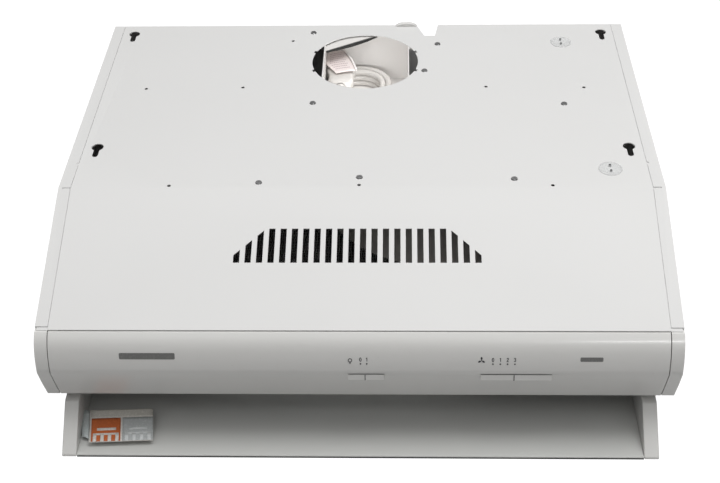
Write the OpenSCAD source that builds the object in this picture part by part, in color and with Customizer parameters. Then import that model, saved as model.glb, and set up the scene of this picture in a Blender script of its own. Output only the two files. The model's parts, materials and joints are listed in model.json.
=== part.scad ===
/* [Shell] */
// Width of the hood
hood_w = 600; // [598:0.5:602]
// Height from the base to the flat top
hood_h = 182; // [180:0.5:184]
// Distance from the rear face to the fold where the front slope starts
top_depth = 332; // [330:1:334]
// Distance from the rear face to the foot of the front slope
slope_foot = 482.5; // [482:0.5:484]
// Fall of the front slope
slope_drop = 54; // [52:1:56]
// Distance from the rear face to the lip of the open visor
lip_depth = 525; // [523:1:527]
// Sheet steel thickness
sheet = 1; // [0.8:0.1:1.2]
// Width of the folded flanges along both sides
flange_w = 12; // [11:0.5:13]

/* [Duct and mounting holes] */
// Radius of the duct hole
duct_r = 60; // [59:0.5:61]
// Distance from the rear face to the centre of the duct hole
duct_depth = 84; // [83:1:86]
// Distance between left and right keyholes
key_spacing_x = 548; // [540:1:550]
// Distance between rear and front keyholes
key_spacing_y = 240; // [230:1:245]
// Distance from the rear face to the rear keyholes
key_depth = 19; // [16:1:22]
// Radius of a keyhole's head
key_r = 6.25; // [5:0.25:7]
// Radius of the small screw holes
hole_r = 1.9; // [1.8:0.1:2.2]
// Radius of a screw's shank
screw_r = 1.75; // [1.5:0.05:1.75]

/* [Louvre] */
// Number of slots in the louvre
louvre_count = 22; // [16:2:22]
// Distance from one louvre slot to the next
louvre_pitch = 11; // [9:0.5:11]
// Width of a louvre slot
louvre_slot = 6; // [4:0.5:7]
// Length of the long louvre slots
louvre_l = 38.7; // [30:0.1:42]
// Length of the outermost louvre slot on its outer edge
louvre_end = 8.6; // [6:0.2:12]
// Distance from the fold down to the upper ends of the slots
louvre_top = 48; // [40:1:56]

/* [Controls] */
// Place of the light slider from the middle
light_x = 8; // [4:1:10]
// Width of the light slider
light_w = 34; // [30:1:38]
// Place of the fan slider from the middle
fan_x = 147; // [144:1:150]
// Width of the fan slider
fan_w = 66; // [60:1:70]
// Height of both sliders
knob_h = 7; // [6:0.5:7.5]
// Travel of the light slider
light_travel = 6; // [4:0.5:7]
// Travel of the fan slider
fan_travel = 20.7; // [15:0.1:21]

/* [Visor] */
// Outer width of the visor over its cheeks
visor_w = 570; // [566:1:572]
// Width of one cheek
cheek_w = 14; // [12:0.5:15]
// Height of the cheeks' flat rims above the base
cheek_top = 39; // [36:1:40]
// Depth of the visor tray
tray_l = 125; // [120:1:128]

/* [Blower] */
// Distance from the middle to the impeller's axis
fan_axis_x = 100; // [98:1:101]
// Distance from the rear face to the impeller's axis
fan_axis_d = 212; // [211:1:213]
// Outer radius of the impeller
impeller_r = 75; // [70:1:76]
// Number of impeller blades
blades = 32; // [24:1:36]
// Smallest radius of the scroll
scroll_r0 = 84; // [82:1:85]
// Largest radius of the scroll
scroll_r1 = 148; // [147:0.5:148.5]
// Radius of the motor
motor_r = 36; // [32:1:38]

/* [Filter] */
// Left edge of the filter grille
grille_x0 = -272; // [-273:1:-268]
// Right edge of the filter grille
grille_x1 = 200; // [196:1:202]
// Rear edge of the filter grille, from the rear face
grille_d0 = 34; // [34:1:36]
// Front edge of the filter grille, from the rear face
grille_d1 = 350; // [340:1:351]

/* [Mains lead] */
// Diameter of the mains lead
lead_d = 7; // [7:0.1:7.1]
// Radius at both ends of the middle of the coil's turns
coil_r = 31; // [30.8:0.1:31]
// Length of the coil's straight sides
coil_run = 18; // [16:0.5:18]

/* [Hidden] */
$fn = 48;

half_w = hood_w / 2;
inner_w = half_w - flange_w;
slope_a = atan(slope_drop / (slope_foot - top_depth));
gap = 0.4;                          // clearance between neighbouring sheets
roof_under = hood_h - sheet;        // underside of the flat top
crease = [500.5, hood_h - 92];      // the fascia's foremost line: depth, height
fascia_top = [484, hood_h - 55.5];
fascia_pull = [498.5, hood_h - 66];  // control point of the curve from the top to the crease
fascia_bend = [493.5, hood_h - 112];
fascia_foot = [484.5, hood_h - 134];
fascia_t = 2.5;
fascia_back = 470;
screw_spots = [[-62, 18], [83, 46], [67, 106], [-55, 174], [-1, 314], [153, 317], [216, 177], [-101, 323]];
spare_holes = [[-85, 37], [-241, 143], [241, 143], [-134, 141], [134, 141], [-190, 328], [190, 328],
  [-1, 327]];
disc_spots = [[225, 43], [250, 300]];
notch_x = [59, 84.5];               // left and right ends of the cable notch at the rear edge
notch_l = 26;
box_x = [-48, 50];                  // outer sides of the outlet box
box_d = [20, 140];
box_floor = hood_h - 60;
gusset = [57, 13];                  // ends of the corner gusset: depth on the left side, x on the rear side
gusset_z = hood_h - 4;
wall = 1.5;
scroll_z = [90, 172];
cut_a = 130;                        // angle where the scroll starts
knob_a = atan((crease[0] - fascia_bend[0]) / (crease[1] - fascia_bend[1]));
knob_s = 3.9;                       // distance of the sliders below the crease
base_z = 2;                         // upper face of the base sheet
foot_screws = [40, 200, 340];       // depths of the screws along each side of the base
filter_z = 8.5;
hinge_pos = [40, 6];                // hinge of the grille: depth, height
lug_x = [-245, 160];                // middles of the grille's two knuckles
lamp_x = [212, 282];
lamp_d = [90, 240];
coil_c = [-8, 73];                  // centre of the coil: x, depth
coil_h = 3 * lead_d;
coil_band = lead_d;                 // half the width of the coil's bundle
gland_d = 116.5;                    // distance of the gland from the rear face
gland_tip = 28.5;
lead_z = box_floor + 1.5 * lead_d;  // height of the coil's middle layer
plug_x = -28.5;
plug_z = box_floor + coil_h + 8.4;
// Route of the lead from the gland to the coil, and from the coil to the plug.
lead_points = [[28, 116.5, 132.5], [25, 116.5, 132.5], [22, 116.5, 132.5], [19, 116.5, 132.5],
  [16, 116.5, 132.5], [12, 116.5, 132.5]];
tail_points = [[26.5, 84, 140.8], [27.3, 95, 142], [27, 105, 143.1], [24.6, 116, 144.2],
  [18.8, 124.8, 145.3], [8.6, 131.3, 146.5], [-1, 133, 147.6], [-10.6, 131.3, 148.7], [-20.8, 124.8, 149.9],
  [-26.2, 116, 150.8], [-28.5, 106, 151.4]];

// Place in the row frame of a point that lies a distance in front of the rear face.
function y_at(depth) = lip_depth / 2 - depth;
function flipped(list) = [for (i = [len(list) - 1:-1:0]) list[i]];
function bend(p, q, r, n) = [for (i = [0:n]) let(t = i / n)
  (1 - t) * (1 - t) * p + 2 * t * (1 - t) * q + t * t * r];

// A block from its sides, its depths in front of the rear face and its heights.
module block(x, d, z) {
  translate([x[0], y_at(d[1]), z[0]]) cube([x[1] - x[0], d[1] - d[0], z[1] - z[0]]);
}
// Extrudes a section, drawn as depth and height, from one side to the other.
module along_x(x) {
  translate([x[0], y_at(0), 0]) rotate([90, 0, 90]) linear_extrude(x[1] - x[0]) mirror([1, 0]) children();
}
module at(x, d, z) {
  translate([x, y_at(d), z]) children();
}
module both_sides() {
  children();
  mirror([1, 0, 0]) children();
}

// The line of the flat top and the slope, a distance below the outer face.
function roof(below) = [
  [0, hood_h - below],
  [top_depth - below * tan(slope_a / 2), hood_h - below],
  [slope_foot - below * sin(slope_a), hood_h - slope_drop - below * cos(slope_a)]];
module roof_sheet(x, upper, lower) {
  along_x(x) polygon(concat(roof(upper), flipped(roof(lower))));
}
module keyhole() {
  translate([0, 0, -3]) {
    cylinder(r = key_r, h = 6);
    translate([-3, -15, 0]) cube([6, 15, 6]);
    translate([0, -15, 0]) cylinder(r = 3, h = 6);
  }
}
module louvre() {
  half = (louvre_count - 1) / 2 * louvre_pitch + louvre_slot / 2;
  rise = louvre_l - louvre_end;
  foot = -louvre_top - louvre_l;
  at(-1.5, top_depth, hood_h) rotate([slope_a, 0, 0]) translate([0, 0, -4]) linear_extrude(8)
    intersection() {
      for (i = [0:louvre_count - 1])
        translate([(i - (louvre_count - 1) / 2) * louvre_pitch - louvre_slot / 2, foot])
          square([louvre_slot, louvre_l]);
      translate([0, foot]) polygon([[-half, 0], [-half, louvre_end], [rise - half, louvre_l],
        [half - rise, louvre_l], [half, louvre_end], [half, 0]]);
    }
}
module duct_hole() {
  at(0, duct_depth, hood_h - 4) {
    cylinder(r = duct_r, h = 8, $fn = 96);
    for (a = [-20, 20, 160, 200])
      rotate(a) translate([duct_r - 4, -2.5, 0]) cube([6.5, 5, 8]);
  }
}
// The cable notch, which narrows from the rear edge.
module cable_notch(depth, z) {
  at(0, 0, z[0]) linear_extrude(z[1] - z[0])
    polygon([[notch_x[0] - 0.6, 2], [notch_x[0] + 9, -depth], [notch_x[1] - 4, -depth],
      [notch_x[1] + 0.3, 2]]);
}

module top_panel() {
  color("white") difference() {
    union() {
      roof_sheet([gap - inner_w, inner_w - gap], 0, sheet);
      both_sides() roof_sheet([inner_w - 10, half_w - 1.5], sheet, 2 * sheet);
      both_sides() block([inner_w - 24, inner_w - 23], [2, 30], [roof_under - 12, roof_under]);
    }
    duct_hole();
    louvre();
    for (x = [-1, 1], k = [0, 1]) at(x * key_spacing_x / 2, key_depth + k * key_spacing_y, hood_h) keyhole();
    for (p = concat(screw_spots, spare_holes)) at(p[0], p[1], hood_h - 4) cylinder(r = hole_r, h = 8);
    cable_notch(notch_l, [hood_h - 4, hood_h + 4]);
  }
}

// One side panel, drawn for the right-hand side.
module side_panel() {
  foot = 430;
  difference() {
    union() {
      along_x([half_w - sheet, half_w]) polygon(concat(roof(0), [[fascia_back, hood_h - slope_drop - 2],
        [fascia_back, 50], [foot, 0], [0, 0]]));
      roof_sheet([inner_w, half_w], 0, sheet);
      block([half_w - 16, half_w], [0, foot], [0, sheet]);
      block([half_w - 12, half_w], [sheet + gap, sheet + gap + 1], [sheet, roof_under - sheet - gap]);
    }
    for (d = foot_screws) at(half_w - 10, d, -1) cylinder(r = hole_r, h = 4);
    block([inner_w - 1, half_w + 1], [slope_foot - 3.5, slope_foot + 1], [hood_h - 70, hood_h - 40]);
    at(inner_w, 289, hood_h - 4) cylinder(r = hole_r, h = 8);
    at(inner_w, top_depth, hood_h - 4) translate([-1, -1, 0]) cube([9, 2, 8]);
  }
}
module side_panel_right() color("white") side_panel();
module side_panel_left() color("white") mirror([1, 0, 0]) side_panel();

module back_panel() {
  color("white") difference() {
    block([sheet - half_w, half_w - sheet], [0, sheet], [sheet, roof_under - sheet]);
    block(notch_x, [-2, 4], [hood_h - 34, hood_h]);
  }
}

module base_frame() {
  color("white") difference() {
    union() {
      block([2 - half_w, half_w - 2], [2 * (sheet + gap), 392], [sheet, base_z]);
      for (x = lug_x, s = [-9, 7]) block([x + s, x + s + 2], [36, 44], [base_z, 11]);
      block([grille_x0 - 4, grille_x1 + 4], [28, 29], [base_z, 12]);
      block([grille_x0 - 4, grille_x1 + 4], [354, 355], [base_z, 12]);
    }
    block([grille_x0 - 1.5, grille_x1 + 1.5], [grille_d0 + 9.2, grille_d1 + 1.5], [0, base_z + 0.01]);
    for (x = lug_x) block([x - 6.9, x + 6.9], [grille_d0, grille_d0 + 14], [0, base_z + 0.01]);
    block([lamp_x[0] + 4, lamp_x[1] - 4], [lamp_d[0] + 4, lamp_d[1] - 4], [0, 3]);
    for (x = lug_x) at(x - 12, hinge_pos[0], hinge_pos[1]) rotate([0, 90, 0]) cylinder(r = 2, h = 24);
    for (x = [-290, 290], d = foot_screws) at(x, d, 0) cylinder(r = hole_r, h = 4);
  }
}

module front_plate() {
  color("gainsboro") difference() {
    union() {
      block([2 - half_w, half_w - 2], [463, 464], [44, 131]);
      block([2 - half_w, half_w - 2], [452, 464], [44, 45]);
    }
    for (x = [light_x, fan_x]) block([x - 30, x + 30], [460, 467], [74, 104]);
  }
}

// The fascia's section, and the same section moved inwards.
function fascia_line(inset) = [for (p = concat(bend(fascia_top, fascia_pull, crease, 10),
  [fascia_bend, fascia_foot])) [p[0] - inset, p[1]]];
module fascia_section() {
  lean = (fascia_bend[0] - fascia_foot[0]) / (fascia_bend[1] - fascia_foot[1]);
  inner = [for (p = fascia_line(fascia_t))
    if (p[1] < fascia_top[1] - fascia_t && p[1] > fascia_foot[1] + fascia_t) p];
  polygon(concat(fascia_line(0), [[fascia_back, fascia_foot[1]], [fascia_back, fascia_foot[1] + fascia_t],
    [fascia_foot[0] - fascia_t + lean * fascia_t, fascia_foot[1] + fascia_t]], flipped(inner),
    [[fascia_top[0] + 0.5, fascia_top[1] - fascia_t], [fascia_back, fascia_top[1] - fascia_t],
    [fascia_back, fascia_top[1]]]));
}
module on_knob_face(x) {
  translate([x, y_at(crease[0]), crease[1]]) rotate([knob_a, 0, 0]) translate([0, 0, -knob_s]) children();
}
module fascia() {
  color("white") difference() {
    along_x([2 * gap - inner_w, inner_w - 2 * gap]) fascia_section();
    on_knob_face(light_x - light_travel / 2)
      translate([-(16.4 + light_travel) / 2, -2, -2.5]) cube([16.4 + light_travel, 12, 5]);
    on_knob_face(fan_x - fan_travel / 2)
      translate([-(24.4 + fan_travel) / 2, -2, -2.5]) cube([24.4 + fan_travel, 12, 5]);
    for (x = [-250, -80, 80, 250]) at(x, 477, fascia_top[1] - 6) cylinder(r = hole_r, h = 10);
  }
}
// One end cap, drawn for the right-hand side.
module end_cap() {
  along_x([half_w - fascia_t, half_w])
    polygon(concat(fascia_line(0), [for (p = [fascia_foot, fascia_top]) [fascia_back + gap, p[1]]]));
  along_x([inner_w, half_w]) fascia_section();
}
module end_cap_right() color("white") end_cap();
module end_cap_left() color("white") mirror([1, 0, 0]) end_cap();

// A wedge across a slider, as proud as that at its lower edge, its foot a distance below the middle.
module wedge(x, w, proud, foot) {
  translate([x - w / 2, 0, 0]) rotate([90, 0, 90]) linear_extrude(w)
    polygon([[-0.3, knob_h / 2], [-proud, 1.2 - foot], [0.4 - proud, 0.4 - foot], [-0.3, -foot]]);
}
// A slider bar with its pointer rib and a stem that runs through the fascia.
module knob(width, stem, pointer) {
  wedge(0, width, 3, knob_h / 2);
  wedge(pointer, 1.2, 3.6, knob_h / 2 + 0.6);
  translate([-stem / 2, -1, -1.8]) cube([stem, 11, 3.6]);
}
module light_knob() color("whitesmoke") on_knob_face(light_x) knob(light_w, 16, -0.4);
module fan_knob() color("whitesmoke") on_knob_face(fan_x) knob(fan_w, 24, -1.4);

module switch_case(x, w) {
  difference() {
    block([x - w / 2, x + w / 2], [466.6, 484], [74, 96]);
    block([x - w / 2 + 2, x + w / 2 - 2], [476, 485], [76, 94]);
  }
}
module light_switch() color("dimgray") switch_case(light_x - light_travel / 2, 34);
module fan_switch() color("dimgray") switch_case(fan_x - fan_travel / 2, 56);
module switch_bracket() {
  color("silver") difference() {
    block([-40, 190], [465.1, 466.6], [66, 108]);
    for (x = [-30, 60, 180]) at(x, 466, 102) rotate([90, 0, 0]) cylinder(r = hole_r, h = 6, center = true);
  }
}

module visor_tray() {
  inner = visor_w / 2 - cheek_w;
  color("whitesmoke") {
    block([-inner, inner], [lip_depth - tray_l, lip_depth - 2], [3, 5]);
    at(-inner, lip_depth - 2, 4) rotate([0, 90, 0]) cylinder(r = 1, h = 2 * inner);
    block([-inner, inner], [lip_depth - tray_l, lip_depth - tray_l + 2], [3, 20]);
  }
}
// One cheek of the visor with the tongue that runs in its guide, drawn for the right-hand side.
module visor_cheek() {
  outer = visor_w / 2;
  back = lip_depth - tray_l;
  along_x([outer - cheek_w, outer]) polygon([[back, 3], [back, cheek_top - 3], [back + 3, cheek_top],
    [lip_depth - 42, cheek_top], [lip_depth - 39, cheek_top - 1.5], [lip_depth - 1, 6],
    [lip_depth, 5], [lip_depth, 3]]);
  block([outer - 1, outer + 9], [back - 40, back + 45], [8, 13]);
  block([outer - 6, outer], [back - 40, back], [6, 16]);
}
module visor_cheek_right() color("white") visor_cheek();
module visor_cheek_left() color("white") mirror([1, 0, 0]) visor_cheek();
// Dark edging under the front of the tray.
module visor_seal() {
  inner = visor_w / 2 - cheek_w;
  color("black") block([-inner, inner], [lip_depth - 7, lip_depth - 1.5], [1.4, 3]);
}
module visor_guide() {
  outer = visor_w / 2 + 3;
  d = [318, 430];
  block([half_w - 3, half_w - sheet], d, [4, 17]);
  block([outer, half_w - 2], d, [4, 7.4]);
  block([outer, half_w - 2], d, [13.6, 17]);
}
module visor_guide_right() color("silver") visor_guide();
module visor_guide_left() color("silver") mirror([1, 0, 0]) visor_guide();
module visor_sticker() {
  color("orange") block([-268, -196], [lip_depth - 50, lip_depth - 14], [5, 5.4]);
}

module filter_grille() {
  slot_w = 4;
  rows = 5;
  color("gainsboro") difference() {
    union() {
      block([grille_x0, grille_x1], [grille_d0 + 12, grille_d1], [1.2, 3.2]);
      block([grille_x0, grille_x0 + 3], [grille_d0 + 12, grille_d1], [1.2, 11]);
      block([grille_x1 - 3, grille_x1], [grille_d0 + 12, grille_d1], [1.2, 11]);
      block([grille_x0, grille_x1], [grille_d1 - 3, grille_d1], [1.2, 11]);
      block([grille_x0, grille_x1], [grille_d0 + 12, grille_d0 + 15], [1.2, 11]);
      for (x = lug_x) {
        at(x - 6.5, hinge_pos[0], hinge_pos[1]) rotate([0, 90, 0]) cylinder(r = 4, h = 13);
        block([x - 6.5, x + 6.5], [hinge_pos[0], grille_d0 + 14], [3.2, 7]);
      }
    }
    for (x = lug_x) at(x - 8, hinge_pos[0], hinge_pos[1]) rotate([0, 90, 0]) cylinder(r = 2.05, h = 16);
    for (k = [0:rows - 1], x = [grille_x0 + 14:14:grille_x1 - 14])
      block([x - slot_w / 2, x + slot_w / 2], [grille_d0 + 26 + k * 57, grille_d0 + 72 + k * 57], [0, 4]);
  }
}
module filter_mesh() {
  color("silver") block([grille_x0 + 5, grille_x1 - 5], [grille_d0 + 18, grille_d1 - 5], [3.2, filter_z + 2]);
}
module filter_clips() {
  color("gray") for (d = [120, 270]) difference() {
    block([grille_x0 + 3, grille_x1 - 3], [d, d + 3], [3.2, filter_z + 4.5]);
    block([grille_x0 + 4.7, grille_x1 - 4.7], [d - 1, d + 4], [0, filter_z + 2]);
  }
}
module grille_hinge_pins() {
  color("gray") for (x = lug_x)
    at(x - 11, hinge_pos[0], hinge_pos[1]) rotate([0, 90, 0]) cylinder(r = 2, h = 22);
}

module lamp_lens() {
  color("lightyellow") {
    block([lamp_x[0] + 5, lamp_x[1] - 5], [lamp_d[0] + 5, lamp_d[1] - 5], [0.6, base_z]);
    block([lamp_x[0] + 1, lamp_x[1] - 1], [lamp_d[0] + 1, lamp_d[1] - 1], [base_z, base_z + 2]);
  }
}
module lamp_reflector() {
  z = [base_z + 2, 60];
  color("silver") difference() {
    block(lamp_x, lamp_d, z);
    block([lamp_x[0] + wall, lamp_x[1] - wall], [lamp_d[0] + wall, lamp_d[1] - wall],
      [z[0] - 1, z[1] - wall]);
    at((lamp_x[0] + lamp_x[1]) / 2, lamp_d[1], 32) rotate([90, 0, 0]) cylinder(r = 14, h = 8, center = true);
  }
}
module lamp_axis(d) {
  at((lamp_x[0] + lamp_x[1]) / 2, d, 32) rotate([90, 0, 0]) children();
}
module lamp_holder() {
  color("ivory") difference() {
    lamp_axis(lamp_d[1] - 12) cylinder(r = 13.8, h = 40);
    lamp_axis(lamp_d[1] - 13) cylinder(r = 7.2, h = 27);
  }
}
module lamp_bulb() {
  color("lightyellow") {
    lamp_axis(lamp_d[1] - 14) cylinder(r = 6.9, h = 26);
    lamp_axis(lamp_d[1] - 22) cylinder(r1 = 12.5, r2 = 6.9, h = 8, $fn = 32);
    lamp_axis(lamp_d[1] - 92) cylinder(r = 12.5, h = 70);
    lamp_axis(lamp_d[1] - 92) sphere(r = 12.5);
  }
}

module outlet_side(x) {
  along_x(x) polygon([[box_d[0], box_floor - wall], [118, box_floor - wall], [box_d[1], scroll_z[0]],
    [box_d[1], roof_under], [box_d[0], roof_under]]);
}
module outlet_box() {
  color("gainsboro") difference() {
    union() {
      outlet_side([box_x[0], box_x[0] + wall]);
      outlet_side([box_x[1] - wall, box_x[1]]);
      block(box_x, [box_d[0], box_d[0] + wall], [box_floor - wall, roof_under]);
      along_x(box_x) polygon([[box_d[0], box_floor - wall], [118, box_floor - wall], [box_d[1], scroll_z[0]],
        [box_d[1], scroll_z[0] + 2], [119, box_floor], [box_d[0], box_floor]]);
      at(0, 0, gusset_z) linear_extrude(wall)
        polygon([[box_x[0], -box_d[0]], [box_x[0], -gusset[0]], [gusset[1], -box_d[0]]]);
      block([61, 75], [98, 122], [roof_under - 2, roof_under]);
      block([box_x[1] - 1, 62], [114, 122], [roof_under - 2, roof_under]);
      block([box_x[1] - 1, 91], [38, 54], [roof_under - 2, roof_under]);
      block([-70, box_x[0] + 1], [10, 26], [roof_under - 2, roof_under]);
    }
    for (k = [0:2]) at(screw_spots[k][0], screw_spots[k][1], roof_under - 5) cylinder(r = hole_r, h = 8);
    at(box_x[1] - 4, gland_d, lead_z) rotate([0, 90, 0]) cylinder(r = 7, h = 8);
  }
}

// Outline of the scroll and its outlet neck, moved inwards by inset, open as far back as mouth.
module scroll(inset, mouth) {
  turn = cut_a + 180;
  polygon(concat(
    [for (a = [cut_a:-10:-180]) let(r = scroll_r0 + (scroll_r1 - scroll_r0) * (cut_a - a) / turn - inset)
      [fan_axis_x + r * cos(a), y_at(fan_axis_d) + r * sin(a)]],
    [[fan_axis_x - scroll_r1 + inset, y_at(mouth)], [fan_axis_x - scroll_r0 * 0.62 - inset, y_at(mouth)]]));
}
module over_axis(z) {
  at(fan_axis_x, fan_axis_d, z) children();
}
module blower_housing() {
  color("gainsboro") difference() {
    union() {
      translate([0, 0, scroll_z[0]]) linear_extrude(scroll_z[1] - scroll_z[0]) difference() {
        scroll(0, box_d[1]);
        scroll(wall, box_d[1] - 5);
      }
      translate([0, 0, scroll_z[1] - wall]) linear_extrude(wall) scroll(0, box_d[1]);
      at(-1, 314, scroll_z[1] - 10) cylinder(r = 8, h = roof_under - scroll_z[1] + 10);
      at(-55, 174, scroll_z[1] - 10) cylinder(r = 8, h = roof_under - scroll_z[1] + 10);
      at(153, 317, scroll_z[1] - wall) cylinder(r = 7, h = roof_under - scroll_z[1] + wall);
    }
    for (k = [3:5]) at(screw_spots[k][0], screw_spots[k][1], roof_under - 8) cylinder(r = hole_r, h = 10);
    motor_fixings(scroll_z[1] - 5) cylinder(r = 2, h = 8);
    translate([0, 0, scroll_z[0] - 1]) linear_extrude(scroll_z[1] - scroll_z[0] + 1 - wall)
      scroll(wall, box_d[1] - 5);
  }
}
// The three fixings of the motor, at a height.
module motor_fixings(z) {
  for (a = [30, 150, 270]) over_axis(z) rotate(a) translate([40, 0, 0]) children();
}
module over_disc(r) {
  translate([fan_axis_x, y_at(fan_axis_d)]) circle(r = r, $fn = 96);
}
module blower_cover() {
  color("whitesmoke") {
    difference() {
      translate([0, 0, scroll_z[0] - 2]) linear_extrude(2) difference() {
        scroll(0, box_d[1]);
        over_disc(60);
      }
      for (a = [-60, 60, 180])
        over_axis(scroll_z[0] - 4) rotate(a) translate([scroll_r0 - 6, 0, 0]) cylinder(r = hole_r, h = 6);
    }
    over_axis(scroll_z[0] - 5) rotate_extrude($fn = 96) translate([58, 0]) square([2.5, 10]);
  }
}
module impeller() {
  z = [98, 160];
  web_z = 112;
  color("lightgray") difference() {
    union() {
      over_axis(web_z) cylinder(r = impeller_r, h = 2.5, $fn = 96);
      over_axis(z[0] + 3) cylinder(r = 10, h = 20);
      for (h = [z[0], z[1] - 2]) over_axis(h) difference() {
        cylinder(r = impeller_r, h = 2, $fn = 96);
        translate([0, 0, -1]) cylinder(r = 62, h = 4, $fn = 96);
      }
      for (k = [0:blades - 1]) over_axis(z[0]) rotate(k * 360 / blades) translate([62.5, 0, 0]) rotate(-35)
        translate([0, -0.6, 0]) cube([12.5, 1.2, z[1] - z[0]]);
    }
    over_axis(90) cylinder(r = 4, h = 40);
    for (a = [0:60:300]) over_axis(web_z - 1) rotate(a) translate([38, 0, 0]) cylinder(r = 12, h = 5);
  }
}
module impeller_nut() {
  color("gray") difference() {
    over_axis(96) cylinder(r = 7, h = 5, $fn = 6);
    over_axis(95) cylinder(r = 4, h = 7);
  }
}
module motor_shaft() {
  color("silver") over_axis(95) cylinder(r = 4, h = 70);
}
module motor_body() {
  color("dimgray") difference() {
    union() {
      over_axis(128) cylinder(r = motor_r, h = 38, $fn = 96);
      over_axis(124) cylinder(r = 12, h = 5);
      over_axis(166) cylinder(r = 47, h = 2, $fn = 96);
    }
    over_axis(120) cylinder(r = 4.05, h = 46);
    motor_fixings(165) cylinder(r = 2, h = 4);
  }
}
module motor_bushes() {
  color("black") motor_fixings(168) difference() {
    cylinder(r = 6, h = scroll_z[1] - wall - 168);
    translate([0, 0, -1]) cylinder(r = 2, h = 8);
  }
}
module blower_screws() {
  color("silver") motor_fixings(0) {
    translate([0, 0, 162]) cylinder(r = screw_r, h = scroll_z[1] - 162);
    translate([0, 0, scroll_z[1]]) cylinder(r = 3.5, h = 2);
  }
}

module capacitor() {
  color("whitesmoke") {
    at(-100, 200, 150) rotate([90, 0, 0]) cylinder(r = 16, h = 60, center = true);
    block([-116, -84], [190, 210], [150, roof_under]);
  }
}
module terminal_box() {
  color("whitesmoke") difference() {
    block([-190, -90], [30, 110], [140, roof_under]);
    block([-188, -92], [32, 108], [138, roof_under - 2]);
  }
}
module terminal_lid() {
  color("gainsboro") {
    block([-190, -90], [30, 110], [138, 140]);
    block([-187.6, -92.4], [32.4, 107.6], [140, 142]);
  }
}
module rod(p, q, r) {
  v = q - p;
  translate(p) rotate([0, acos(v[2] / norm(v)), atan2(v[1], v[0])]) cylinder(r = r, h = norm(v), $fn = 24);
}
module wiring_loom() {
  route = [[-140, 110, 160], [-140, 300, 150], [-140, 440, 112], [-30, 456, 90], [130, 456, 88]];
  points = [for (p = route) [p[0], y_at(p[1]), p[2]]];
  color("dimgray") {
    for (i = [0:len(points) - 2]) rod(points[i], points[i + 1], 3.5);
    for (i = [1:len(points) - 2]) translate(points[i]) sphere(r = 4.4, $fn = 24);
  }
}

module lead_gland() {
  color("lightgray") difference() {
    union() {
      at(box_x[1], gland_d, lead_z) rotate([0, 90, 0]) cylinder(r = 9, h = 3);
      at(box_x[1] - wall, gland_d, lead_z) rotate([0, 90, 0]) cylinder(r = 6.8, h = wall);
      at(gland_tip, gland_d, lead_z) rotate([0, 90, 0])
        cylinder(r1 = 4.4, r2 = 6.5, h = box_x[1] - wall - gland_tip, $fn = 32);
    }
    at(20, gland_d, lead_z) rotate([0, 90, 0]) cylinder(r = lead_d / 2, h = 45);
  }
}
// A round tube through a list of points, as one closed mesh.
function unit(v) = v / norm(v);
function ring_at(p, dir, n) = let(side = unit(cross(dir, [0, 0, 1])), up = cross(side, dir))
  [for (k = [0:n - 1]) p + lead_d / 2 * (cos(k * 360 / n) * side + sin(k * 360 / n) * up)];
module tube(route) {
  points = [for (p = route) [p[0], y_at(p[1]), p[2]]];
  last = len(points) - 1;
  n = 10;
  rings = [for (i = [0:last])
    each ring_at(points[i], unit(points[min(i + 1, last)] - points[max(i - 1, 0)]), n)];
  sides = [for (i = [0:last - 1], k = [0:n - 1]) let(a = i * n + k, b = i * n + (k + 1) % n)
    each [[a, b, b + n], [a, b + n, a + n]]];
  polyhedron(rings, concat([[for (k = [n - 1:-1:0]) k]], sides, [[for (k = [0:n - 1]) last * n + k]]));
}
module mains_lead() color("lightgray") tube(lead_points);
module lead_to_plug() color("lightgray") tube(tail_points);
// Outline with round front and rear ends, drawn about the coil's centre.
module oblong(r) {
  translate([-r, -coil_run / 2]) square([2 * r, coil_run]);
  for (y = [-1, 1]) translate([0, y * coil_run / 2]) circle(r = r, $fn = 72);
}
module mains_coil() {
  color("lightgray") at(coil_c[0], coil_c[1], box_floor) linear_extrude(coil_h) difference() {
    oblong(coil_r + coil_band);
    oblong(coil_r - coil_band);
  }
}
module mains_plug() {
  neck = 16;
  body = 34;
  color("whitesmoke") at(plug_x, 106, plug_z) rotate([-90, 0, 0]) {
    cylinder(r1 = 4.4, r2 = 6, h = neck, $fn = 32);
    translate([-17, -7.5, neck]) cube([34, 15, body]);
    for (x = [-9.5, 9.5]) translate([x, 0, neck + body]) cylinder(r = 2.2, h = 18);
  }
}
module lead_tag() {
  color("mistyrose") at(0, 0, plug_z + 9) linear_extrude(0.8)
    polygon([[-46, -29], [-26, -23], [-9, -71], [-34, -76], [-46, -56]]);
}
// Soft strip along the front edge of the corner gusset, deepest near its middle.
module outlet_seal() {
  left = box_x[0] + wall;
  run = [gusset[1] - left, gusset[0] - box_d[0] - wall];
  l = norm(run) - 2;
  color("black") at(left, gusset[0], gusset_z + wall) rotate([0, 0, atan2(run[1], run[0])])
    translate([1, -0.2, 0]) rotate([90, 0, 0]) linear_extrude(2)
      polygon([[0, 0], [l, 0], [l, -0.5], [0.8 * l, -2.4], [0.5 * l, -3.2], [0, -1.6]]);
}

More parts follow.
